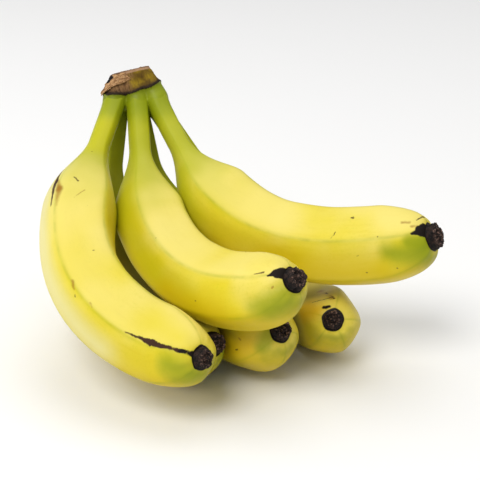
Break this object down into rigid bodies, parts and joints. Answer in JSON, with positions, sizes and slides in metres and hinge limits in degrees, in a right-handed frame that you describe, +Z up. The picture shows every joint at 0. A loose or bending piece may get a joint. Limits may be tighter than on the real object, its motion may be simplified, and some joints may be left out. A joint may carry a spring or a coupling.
{
  "type": "bunch of bananas",
  "caption": "Bunch of ripe bananas lying on its lower row, with a cut woody crown and dried flower ends.",
  "frame": {"origin": "centre of the bounding box in plan, on the surface that the bunch lies on", "axes": "+X to the right of the front view, along the longest extent; +Y away from the viewer; +Z up"},
  "size_m": [0.199, 0.169, 0.1344],
  "materials": {
    "peel": "smooth waxy ripe peel, satin",
    "crown_skin": "dry brown skin and a dry cut face",
    "dried_flower": "rough, dry, nearly black"
  },
  "bodies": {
    "root": {"crown": "crown_skin", "banana_back_middle": "peel", "banana_back_left": "peel", "banana_back_right": "peel", "banana_front_middle": "peel", "banana_front_left": "peel", "banana_front_right": "peel", "flower_end_back_middle": "dried_flower", "flower_end_back_left": "dried_flower", "flower_end_back_right": "dried_flower", "flower_end_front_middle": "dried_flower", "flower_end_front_left": "dried_flower", "flower_end_front_right": "dried_flower"}
  },
  "joints": []
}
